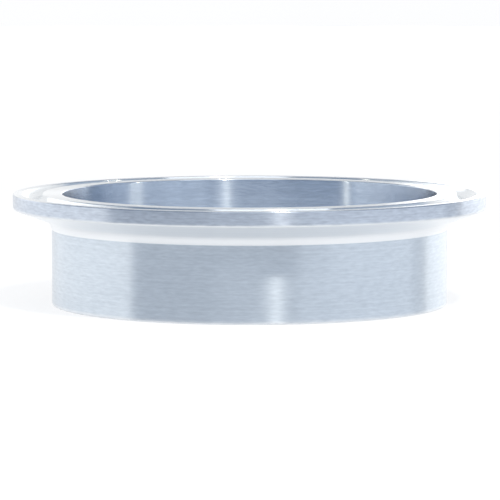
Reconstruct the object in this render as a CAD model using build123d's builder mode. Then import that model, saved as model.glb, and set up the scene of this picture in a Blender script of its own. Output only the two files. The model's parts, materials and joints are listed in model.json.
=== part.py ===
"""Sanitary clamp ferrule: a short tube stub with a bevelled clamp flange.

The ferrule is one turned piece of stainless steel. Its plain end is butt-welded
to a thin-walled tube of the same size, flush inside and out. Its flange faces
the flange of a second ferrule over a gasket, whose bead sits in the round
groove of the sealing face, and a hinged clamp squeezes the two flanges
together by their sloping backs.

Lengths are in millimetres and angles in degrees. +Z is the bore axis, pointing
out of the sealing face, and the origin is the centre of the weld end.
"""

from build123d import *
from math import radians, tan
import os

# The tube that the ferrule is welded to
tube_diameter = 76.1
tube_wall = 2.0

# Weld end to sealing face
length = 21.5

# Clamp flange
flange_reach = 7.45  # how far the flange stands out past the tube
rim_thickness = 2.85  # straight edge at the outside of the flange
back_slope = 20.0  # angle of the flange's back, on which the clamp wedges
neck_radius = 2.2  # fillet where the flange's back meets the tube

# Gasket groove, cut into the sealing face with a round-nosed tool
groove_inset = 3.75  # from the outside of the flange to the middle of the groove
groove_nose_radius = 2.0
groove_depth = 1.6

# Edge breaks, each measured along the faces beside the edge
rim_front_break = 0.25
rim_back_break = 0.3
bore_mouth_break = 0.25
groove_lip_break = 0.1
weld_end_break = 0.4
weld_end_bore_break = 0.2

# Radii and heights that follow from the sizes above
tube_radius = tube_diameter / 2
bore_radius = tube_radius - tube_wall
flange_radius = tube_radius + flange_reach
rim_back_height = length - rim_thickness
neck_height = rim_back_height - flange_reach * tan(radians(back_slope))
groove_radius = flange_radius - groove_inset
groove_nose_height = length - groove_depth + groove_nose_radius

# Corners of the section as (distance from the bore axis, height)
weld_end_inside = (bore_radius, 0)
weld_end_outside = (tube_radius, 0)
neck = (tube_radius, neck_height)
rim_back = (flange_radius, rim_back_height)
rim_front = (flange_radius, length)
bore_mouth = (bore_radius, length)


with BuildPart() as clamp_ferrule:
    # Half of the section, beside the bore axis
    with BuildSketch(Plane.XZ) as section:
        with BuildLine():
            Polyline(
                weld_end_inside,
                weld_end_outside,
                neck,
                rim_back,
                rim_front,
                bore_mouth,
                close=True,
            )
        make_face()

        # The fillet stiffens the flange and leaves no corner that holds dirt.
        fillet(section.vertices().sort_by_distance(neck)[0], radius=neck_radius)

        # The weld end is faced square, for a butt weld. Every sharp edge is
        # broken, so that it cuts neither the gasket nor a hand.
        for corner, edge_break in (
            (weld_end_inside, weld_end_bore_break),
            (weld_end_outside, weld_end_break),
            (rim_back, rim_back_break),
            (rim_front, rim_front_break),
            (bore_mouth, bore_mouth_break),
        ):
            chamfer(section.vertices().sort_by_distance(corner)[0], length=edge_break)

        # The tool's nose cuts the gasket groove, which leaves a flat ring of
        # sealing face on either side of it.
        with Locations((groove_radius, groove_nose_height)):
            Circle(groove_nose_radius, mode=Mode.SUBTRACT)
        face_corners = section.vertices().group_by(Axis.Y)[-1].sort_by(Axis.X)
        groove_lips = face_corners[1:3]
        chamfer(groove_lips, length=groove_lip_break)

    # The lathe turns the section about the bore axis.
    revolve(axis=Axis.Z)

clamp_ferrule.part.label = "clamp_ferrule"

os.makedirs("parts", exist_ok=True)
export_step(clamp_ferrule.part, "parts/clamp_ferrule.step")
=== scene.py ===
import json
from math import acos, cos, hypot, pi, radians, sin, tan

import bmesh
import bpy
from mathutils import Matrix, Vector


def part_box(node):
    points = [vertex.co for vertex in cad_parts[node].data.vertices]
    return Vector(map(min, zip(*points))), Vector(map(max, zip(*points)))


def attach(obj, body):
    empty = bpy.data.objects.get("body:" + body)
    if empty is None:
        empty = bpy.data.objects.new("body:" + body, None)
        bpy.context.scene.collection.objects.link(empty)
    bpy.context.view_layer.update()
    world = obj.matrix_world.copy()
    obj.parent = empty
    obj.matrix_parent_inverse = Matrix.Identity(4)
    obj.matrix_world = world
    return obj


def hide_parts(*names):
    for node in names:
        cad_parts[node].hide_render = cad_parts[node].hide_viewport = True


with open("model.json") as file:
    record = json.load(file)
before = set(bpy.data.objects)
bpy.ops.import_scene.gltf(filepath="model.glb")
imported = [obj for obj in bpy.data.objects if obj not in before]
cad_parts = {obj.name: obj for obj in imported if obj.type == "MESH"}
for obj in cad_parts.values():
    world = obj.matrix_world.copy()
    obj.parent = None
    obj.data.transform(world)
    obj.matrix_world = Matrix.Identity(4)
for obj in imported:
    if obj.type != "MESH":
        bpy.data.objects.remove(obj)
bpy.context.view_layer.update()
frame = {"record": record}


# The ferrule: a tube stub and a clamp flange in one piece of stainless steel,
# turned in one setting. Its section is turned about the bore axis, and the tool
# leaves fine rings, satin on the outside and bright on the face.

mm = 0.001
mounts = {mount["name"]: mount["dims"] for mount in frame["record"]["mounts"]}
bore_radius = mounts["bore"]["r_mm"] * mm
tube_radius = mounts["tube_end"]["r_mm"] * mm
rim_radius = mounts["flange_rim"]["r_mm"] * mm
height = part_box("clamp_ferrule")[1][2]

rim_thickness = 2.85 * mm
back_slope = radians(20)
rim_back_height = height - rim_thickness
neck_height = rim_back_height - (rim_radius - tube_radius) * tan(back_slope)
neck_fillet = 2.2 * mm

groove_radius = rim_radius - 3.75 * mm
groove_depth = 1.6 * mm
groove_nose = 2.0 * mm
groove_half_angle = acos((groove_nose - groove_depth) / groove_nose)
groove_half_width = groove_nose * sin(groove_half_angle)
groove_steps = 16

face_break = 0.25 * mm
rim_back_break = 0.3 * mm
weld_outer_break = 0.4 * mm
weld_inner_break = 0.2 * mm
groove_lip_break = 0.1 * mm
steps_round = 288

steel = bmesh.new()

# The groove's arc, from its inner lip to its outer lip
groove_inner_lip = steel.verts.new((groove_radius - groove_half_width, 0, height))
groove_arc = bmesh.ops.spin(
    steel,
    geom=[groove_inner_lip],
    cent=(groove_radius, 0, height - groove_depth + groove_nose),
    axis=(0, -1, 0),
    angle=2 * groove_half_angle,
    steps=groove_steps,
)
groove_outer_lip = groove_arc["geom_last"][0]

# The rest of the section, from the outer lip round to the inner one
last_corner = groove_outer_lip
for corner_radius, corner_height in (
    (rim_radius, height),
    (rim_radius, rim_back_height),
    (tube_radius, neck_height),
    (tube_radius, 0),
    (bore_radius, 0),
    (bore_radius, height),
):
    corner = steel.verts.new((corner_radius, 0, corner_height))
    steel.edges.new((last_corner, corner))
    last_corner = corner
steel.edges.new((last_corner, groove_inner_lip))

bmesh.ops.spin(
    steel,
    geom=steel.verts[:] + steel.edges[:],
    cent=(0, 0, 0),
    axis=(0, 0, 1),
    angle=2 * pi,
    steps=steps_round,
    use_merge=True,
)
bmesh.ops.remove_doubles(steel, verts=steel.verts, dist=0.001 * mm)
bmesh.ops.recalc_face_normals(steel, faces=steel.faces)


def round_edge(edge_radius, edge_height, reach, segments):
    """Rounds one circular edge, taking reach off the face on either side."""
    close_by = 0.01 * mm
    here = [
        edge
        for edge in steel.edges
        if all(
            abs(hypot(end.co.x, end.co.y) - edge_radius) < close_by
            and abs(end.co.z - edge_height) < close_by
            for end in edge.verts
        )
    ]
    bmesh.ops.bevel(
        steel,
        geom=here,
        offset=reach,
        offset_type="OFFSET",
        affect="EDGES",
        segments=segments,
        profile=0.5,
        material=-1,
    )


neck_reach = neck_fillet * tan((pi / 2 - back_slope) / 2)
round_edge(tube_radius, neck_height, neck_reach, 10)
round_edge(rim_radius, rim_back_height, rim_back_break, 4)
round_edge(rim_radius, height, face_break, 4)
round_edge(bore_radius, height, face_break, 4)
round_edge(tube_radius, 0, weld_outer_break, 2)
round_edge(bore_radius, 0, weld_inner_break, 2)
round_edge(groove_radius - groove_half_width, height, groove_lip_break, 2)
round_edge(groove_radius + groove_half_width, height, groove_lip_break, 2)

for facet in steel.faces:
    facet.smooth = True
ferrule_mesh = bpy.data.meshes.new("turned_ferrule")
steel.to_mesh(ferrule_mesh)
steel.free()
ferrule = bpy.data.objects.new("turned_ferrule", ferrule_mesh)
bpy.context.scene.collection.objects.link(ferrule)

# The wide faces keep their true direction up to the rounded edges.
weighted = ferrule.modifiers.new("wide_faces_first", "WEIGHTED_NORMAL")
weighted.mode = "FACE_AREA"
weighted.weight = 100
evaluated = ferrule.evaluated_get(bpy.context.evaluated_depsgraph_get())
ferrule.data = bpy.data.meshes.new_from_object(evaluated)
ferrule.modifiers.clear()

# Turned stainless steel. The tube and the rim keep the satin of a coarse feed,
# and the face, the neck and the flange's back the grain of a fine one, the face
# also smoother. The face, the neck fillet and the flange's back are painted
# lighter, a painted reflection; the bore and the rim darker, a painted shade.
turned_steel = bpy.data.materials.new("turned_steel")
turned_steel.use_nodes = True
nodes = turned_steel.node_tree.nodes
links = turned_steel.node_tree.links
shader = nodes["Principled BSDF"]


def reckon(operation, *terms):
    """A Math node on sockets or plain numbers."""
    node = nodes.new("ShaderNodeMath")
    node.operation = operation
    for socket, term in zip(node.inputs, terms):
        if isinstance(term, bpy.types.NodeSocket):
            links.new(term, socket)
        else:
            socket.default_value = term
    return node.outputs[0]


def blend(share, plain, other):
    """A Mix node from one colour to another."""
    node = nodes.new("ShaderNodeMix")
    node.data_type = "RGBA"
    links.new(share, node.inputs["Factor"])
    for socket, colour in ((node.inputs["A"], plain), (node.inputs["B"], other)):
        if isinstance(colour, bpy.types.NodeSocket):
            links.new(colour, socket)
        else:
            socket.default_value = (*colour, 1)
    return node.outputs["Result"]


# Distance from the bore axis and height, in millimetres
place = nodes.new("ShaderNodeTexCoord").outputs["Object"]
in_mm = nodes.new("ShaderNodeVectorMath")
in_mm.operation = "SCALE"
in_mm.inputs["Scale"].default_value = 1 / mm
links.new(place, in_mm.inputs[0])
parted = nodes.new("ShaderNodeSeparateXYZ")
links.new(in_mm.outputs[0], parted.inputs[0])
x, y, z = parted.outputs
x_squared = reckon("MULTIPLY", x, x)
y_squared = reckon("MULTIPLY", y, y)
radius = reckon("SQRT", reckon("ADD", x_squared, y_squared))


def noise_at(across, scale, detail):
    """Noise at a point given by its first sockets; the rest stay at 0."""
    point = nodes.new("ShaderNodeCombineXYZ")
    for socket, term in zip(point.inputs, across):
        links.new(term, socket)
    noise = nodes.new("ShaderNodeTexNoise")
    noise.inputs["Scale"].default_value = scale
    noise.inputs["Detail"].default_value = detail
    links.new(point.outputs[0], noise.inputs["Vector"])
    return noise.outputs["Fac"]


# The tool's rings are close together, and each scratch runs far round the axis.
rings_per_mm = 2.6
drawn_out = 0.55
rings = reckon("MULTIPLY", reckon("ADD", radius, z), rings_per_mm)
along_x = reckon("MULTIPLY", x, drawn_out)
along_y = reckon("MULTIPLY", y, drawn_out)
coarse_feed = noise_at((radius, z), scale=2.2, detail=2)
fine_feed = noise_at((radius, z), scale=3.0, detail=1)
scratches = noise_at((along_x, along_y, rings), scale=1.0, detail=2)
handling = noise_at((x, y, z), scale=0.08, detail=3)

scratch_share = 0.65
feed_share = reckon("MULTIPLY", coarse_feed, 1 - scratch_share)
grain = reckon("MULTIPLY_ADD", scratches, scratch_share, feed_share)

# Where each finish lies, with a margin past the edge that it ends at
hair = 0.02
margin = 0.1
fillet_width = 1.6
bore_edge = bore_radius / mm
tube_edge = tube_radius / mm
rim_edge = rim_radius / mm
rim_foot = rim_back_height / mm
groove_floor = (height - groove_depth) / mm

bore = reckon("LESS_THAN", radius, bore_edge + margin)
past_tube = reckon("GREATER_THAN", radius, tube_edge + hair)
under_rim = reckon("LESS_THAN", z, rim_foot + margin)
flange_back = reckon("MULTIPLY", past_tube, under_rim)
near_tube = reckon("LESS_THAN", radius, tube_edge + fillet_width)
fillet = reckon("MULTIPLY", flange_back, near_tube)
outermost = reckon("GREATER_THAN", radius, rim_edge - margin)
rim = reckon("MULTIPLY", outermost, reckon("GREATER_THAN", z, rim_foot))
topmost = reckon("GREATER_THAN", z, groove_floor - margin)
inside_rim = reckon("LESS_THAN", radius, rim_edge - margin)
outside_bore = reckon("GREATER_THAN", radius, bore_edge + hair)
face = reckon("MULTIPLY", reckon("MULTIPLY", topmost, inside_rim), outside_bore)


def near(value, target, reach):
    """Fades from 1 at the target to 0 at the reach."""
    apart = reckon("ABSOLUTE", reckon("SUBTRACT", value, target))
    return reckon("MAXIMUM", reckon("MULTIPLY_ADD", apart, -1 / reach, 1.0), 0.0)


# Painted highlight: the weld end's edge and the rim's lower edge are painted bright,
# like the light their rounded edges catch, broken up by the scratches
weld_end_highlight = near(z, 0.0, reach=0.9)
rim_highlight_across = near(radius, rim_edge, reach=0.5)
rim_highlight_up = near(z, rim_foot, reach=0.5)
rim_edge_highlight = reckon("MULTIPLY", rim_highlight_across, rim_highlight_up)
painted_edge_highlight = reckon("MAXIMUM", weld_end_highlight, rim_edge_highlight)
painted_edge_highlight = reckon("MULTIPLY", painted_edge_highlight, reckon("MULTIPLY_ADD", scratches, 1.2, 0.4))
painted_edge_highlight = reckon("MINIMUM", painted_edge_highlight, 1.0)

tube_satin = blend(grain, (0.435, 0.49, 0.55), (0.745, 0.81, 0.88))
# painted shade: the bore and the rim get darker tones than the tube; the rim's wider
# spread between its two tones makes its grain plainer
bore_satin_painted_darker = blend(grain, (0.39, 0.452, 0.535), (0.67, 0.75, 0.86))
rim_satin_painted_darker = blend(grain, (0.275, 0.31, 0.385), (0.77, 0.84, 0.925))
# painted reflection: the flange's back, the neck fillet and the face get lighter tones
# than the tube, as bright as their reflections look
back_painted_lighter = blend(fine_feed, (0.83, 0.86, 0.885), (0.91, 0.93, 0.95))
fillet_painted_lighter = blend(fine_feed, (0.86, 0.88, 0.90), (0.92, 0.94, 0.96))
face_painted_lighter = blend(fine_feed, (0.72, 0.75, 0.77), (0.81, 0.83, 0.85))
# the colour of the painted highlight on the rounded edges
painted_highlight_colour = (0.84, 0.86, 0.88)
steel_colour = tube_satin
for zone, finish in (
    (bore, bore_satin_painted_darker),
    (rim, rim_satin_painted_darker),
    (flange_back, back_painted_lighter),
    (fillet, fillet_painted_lighter),
    (face, face_painted_lighter),
    # the painted edge highlight goes on last
    (painted_edge_highlight, painted_highlight_colour),
):
    steel_colour = blend(zone, steel_colour, finish)
links.new(steel_colour, shader.inputs["Base Color"])

satin_roughness = 0.28
dulled_by_handling = 0.03
bore_finer_by = 0.045
face_finer_by = 0.10
roughness = reckon("MULTIPLY_ADD", handling, dulled_by_handling, satin_roughness)
roughness = reckon("MULTIPLY_ADD", bore, -bore_finer_by, roughness)
roughness = reckon("MULTIPLY_ADD", face, -face_finer_by, roughness)
links.new(roughness, shader.inputs["Roughness"])
shader.inputs["Metallic"].default_value = 1.0

# The rings run round the axis, so each light is drawn out across them.
shader.inputs["Anisotropic"].default_value = 1.0
shader.inputs["Anisotropic Rotation"].default_value = 0.25
round_the_axis = nodes.new("ShaderNodeTangent")
round_the_axis.direction_type = "RADIAL"
round_the_axis.axis = "Z"
links.new(round_the_axis.outputs["Tangent"], shader.inputs["Tangent"])

ring_depth = 0.008 * mm
feed_marks = nodes.new("ShaderNodeBump")
feed_marks.inputs["Strength"].default_value = 1.0
feed_marks.inputs["Distance"].default_value = ring_depth
links.new(grain, feed_marks.inputs["Height"])
links.new(feed_marks.outputs["Normal"], shader.inputs["Normal"])

ferrule.data.materials.clear()
ferrule.data.materials.append(turned_steel)

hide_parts("clamp_ferrule")
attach(ferrule, "root")


# The studio: a round white table, and a curved white paper sweep behind and
# beside it, which the steel mirrors. Soft boxes stand round the table, and four
# narrow spots reach over the flange into the bore.

studio_radius = 1.6
evened_from = 0.3


def white_for_the_eye(name, daylight, far_daylight, shade):
    """A white paint that looks evenly lit, directly and in the metal."""
    paint = bpy.data.materials.new(name)
    paint.use_nodes = True
    nodes = paint.node_tree.nodes
    links = paint.node_tree.links
    shader = nodes["Principled BSDF"]
    shader.inputs["Base Color"].default_value = (shade, shade, shade, 1)
    shader.inputs["Roughness"].default_value = 0.9
    shader.inputs["Specular IOR Level"].default_value = 0.0
    shader.inputs["Emission Color"].default_value = (1, 1, 1, 1)

    rays = nodes.new("ShaderNodeLightPath")
    looked_at = rays.outputs["Is Camera Ray"]
    for mirrored_or_through in ("Is Glossy Ray", "Is Transmission Ray"):
        either = nodes.new("ShaderNodeMath")
        either.operation = "MAXIMUM"
        links.new(looked_at, either.inputs[0])
        links.new(rays.outputs[mirrored_or_through], either.inputs[1])
        looked_at = either.outputs[0]

    away = nodes.new("ShaderNodeVectorMath")
    away.operation = "LENGTH"
    links.new(nodes.new("ShaderNodeTexCoord").outputs["Object"], away.inputs[0])
    evened = nodes.new("ShaderNodeMapRange")
    evened.inputs["From Min"].default_value = evened_from
    evened.inputs["From Max"].default_value = studio_radius
    evened.inputs["To Min"].default_value = daylight
    evened.inputs["To Max"].default_value = far_daylight
    links.new(away.outputs["Value"], evened.inputs["Value"])

    strength = nodes.new("ShaderNodeMath")
    strength.operation = "MULTIPLY"
    links.new(looked_at, strength.inputs[0])
    links.new(evened.outputs["Result"], strength.inputs[1])
    links.new(strength.outputs[0], shader.inputs["Emission Strength"])
    return paint


table = bmesh.new()
bmesh.ops.create_circle(table, cap_ends=True, segments=96, radius=studio_radius)
table_mesh = bpy.data.meshes.new("table")
table.to_mesh(table_mesh)
table.free()
table_top = bpy.data.objects.new("table", table_mesh)
bpy.context.scene.collection.objects.link(table_top)
table_paint = white_for_the_eye(
    "table_paint", daylight=0.80, far_daylight=0.95, shade=0.3
)
table_mesh.materials.append(table_paint)


def towards(bearing, climb, distance):
    """A point by its bearing to the right of the viewer and its climb, in degrees."""
    round_by = radians(bearing)
    up_by = radians(climb)
    across = cos(up_by)
    return distance * Vector(
        (sin(round_by) * across, -cos(round_by) * across, sin(up_by))
    )


sweep_start = 120
sweep_end = 289
sweep_height = 0.9
sweep = bmesh.new()
first = sweep.verts.new(towards(sweep_start, 0, studio_radius))
bmesh.ops.spin(
    sweep,
    geom=[first],
    cent=(0, 0, 0),
    axis=(0, 0, 1),
    angle=radians(sweep_end - sweep_start),
    steps=64,
)
grown = bmesh.ops.extrude_edge_only(sweep, edges=sweep.edges[:])
raised = [item for item in grown["geom"] if isinstance(item, bmesh.types.BMVert)]
bmesh.ops.translate(sweep, verts=raised, vec=(0, 0, sweep_height))
sweep_mesh = bpy.data.meshes.new("sweep")
sweep.to_mesh(sweep_mesh)
sweep.free()
sweep_wall = bpy.data.objects.new("sweep", sweep_mesh)
bpy.context.scene.collection.objects.link(sweep_wall)
sweep_paint = white_for_the_eye(
    "sweep_paint", daylight=0.92, far_daylight=0.92, shade=0.2
)
sweep_mesh.materials.append(sweep_paint)

# The rest of the room is dim and blue, under a paler ceiling.
dim_wall = (0.145, 0.225, 0.35, 1)
pale_ceiling = (0.75, 0.77, 0.80, 1)
wall_top = 0.64
ceiling_edge = 0.87
room = bpy.data.worlds.new("room")
room.use_nodes = True
nodes = room.node_tree.nodes
links = room.node_tree.links
climbing = nodes.new("ShaderNodeSeparateXYZ")
links.new(nodes.new("ShaderNodeTexCoord").outputs["Generated"], climbing.inputs[0])
overhead = nodes.new("ShaderNodeMapRange")
overhead.inputs["From Min"].default_value = wall_top
overhead.inputs["From Max"].default_value = ceiling_edge
links.new(climbing.outputs["Z"], overhead.inputs["Value"])
ceiling = nodes.new("ShaderNodeMix")
ceiling.data_type = "RGBA"
ceiling.inputs["A"].default_value = dim_wall
ceiling.inputs["B"].default_value = pale_ceiling
links.new(overhead.outputs["Result"], ceiling.inputs["Factor"])
links.new(ceiling.outputs["Result"], nodes["Background"].inputs["Color"])
bpy.context.scene.world = room

lamp_distance = 1.4


def hang(name, light, location, aim):
    """Hangs a light at a place, turned to its aim and out of the camera's sight."""
    lamp = bpy.data.objects.new(name, light)
    lamp.location = location
    lamp.rotation_euler = (aim - lamp.location).to_track_quat("-Z", "Y").to_euler()
    lamp.visible_camera = False
    bpy.context.scene.collection.objects.link(lamp)


def soft_box(
    name, bearing, climb, width, tall, watts, distance=lamp_distance, colour=(1, 1, 1)
):
    """A rectangular lamp that faces the ferrule."""
    light = bpy.data.lights.new(name, "AREA")
    light.shape = "RECTANGLE"
    light.size = width
    light.size_y = tall
    light.energy = watts
    light.color = colour
    hang(name, light, towards(bearing, climb, distance), Vector((0, 0, 0)))


warm_white = (1, 0.95, 0.86)
soft_box(
    "key", bearing=19.7, climb=52, width=0.045, tall=0.12, watts=4.4, colour=warm_white
)
soft_box("key_body", bearing=15, climb=50, width=1.4, tall=0.6, watts=3.8)
soft_box(
    "left_window",
    bearing=-110.5,
    climb=15,
    width=1.889,
    tall=0.6,
    watts=2.1,
    distance=1.15,
)
soft_box("right_window", bearing=150, climb=4, width=1.4, tall=0.3, watts=2)
soft_box("right_fill", bearing=76.5, climb=16, width=3.06, tall=0.85, watts=4.2)
soft_box("right_far_fill", bearing=76, climb=6, width=1.68, tall=0.4, watts=1)


beam = radians(1.7)
beam_edge = 0.4
lens_radius = 0.012
warm_beam = (1, 0.9, 0.7)
climb_over_flange = 20
lit_wall_height = 0.018


def bore_light(name, bearing, wall_bearing, watts):
    """A narrow spot over the flange on to the bore wall that faces it."""
    light = bpy.data.lights.new(name, "SPOT")
    light.spot_size = beam
    light.spot_blend = beam_edge
    light.shadow_soft_size = lens_radius
    light.energy = watts
    light.color = warm_beam
    wall = towards(wall_bearing, 0, bore_radius) + Vector((0, 0, lit_wall_height))
    spot_place = wall + towards(bearing, climb_over_flange, lamp_distance)
    hang(name, light, spot_place, wall)


bore_light("bore_spot_right", bearing=81.5, wall_bearing=218, watts=2.5)
bore_light("bore_spot_right_too", bearing=76, wall_bearing=218, watts=2.5)
bore_light("bore_spot_left", bearing=-66, wall_bearing=148, watts=4)
bore_light("bore_spot_front", bearing=14.6, wall_bearing=187, watts=1.5)


# The camera: a long lens on a stand in front of the table, a little above the
# flange, aimed at the middle of the ferrule.

eye_distance = 0.737
eye_height = 0.0783
camera_data = bpy.data.cameras.new("camera")
camera_data.sensor_width = 36
camera_data.lens = 276.3
camera = bpy.data.objects.new("camera", camera_data)
camera.location = (0, -eye_distance, eye_height)
aim = Vector((0.0001, 0, 0.01037))
camera.rotation_euler = (aim - camera.location).to_track_quat("-Z", "Y").to_euler()
bpy.context.scene.collection.objects.link(camera)
bpy.context.scene.camera = camera
bpy.context.scene.view_settings.view_transform = "Standard"
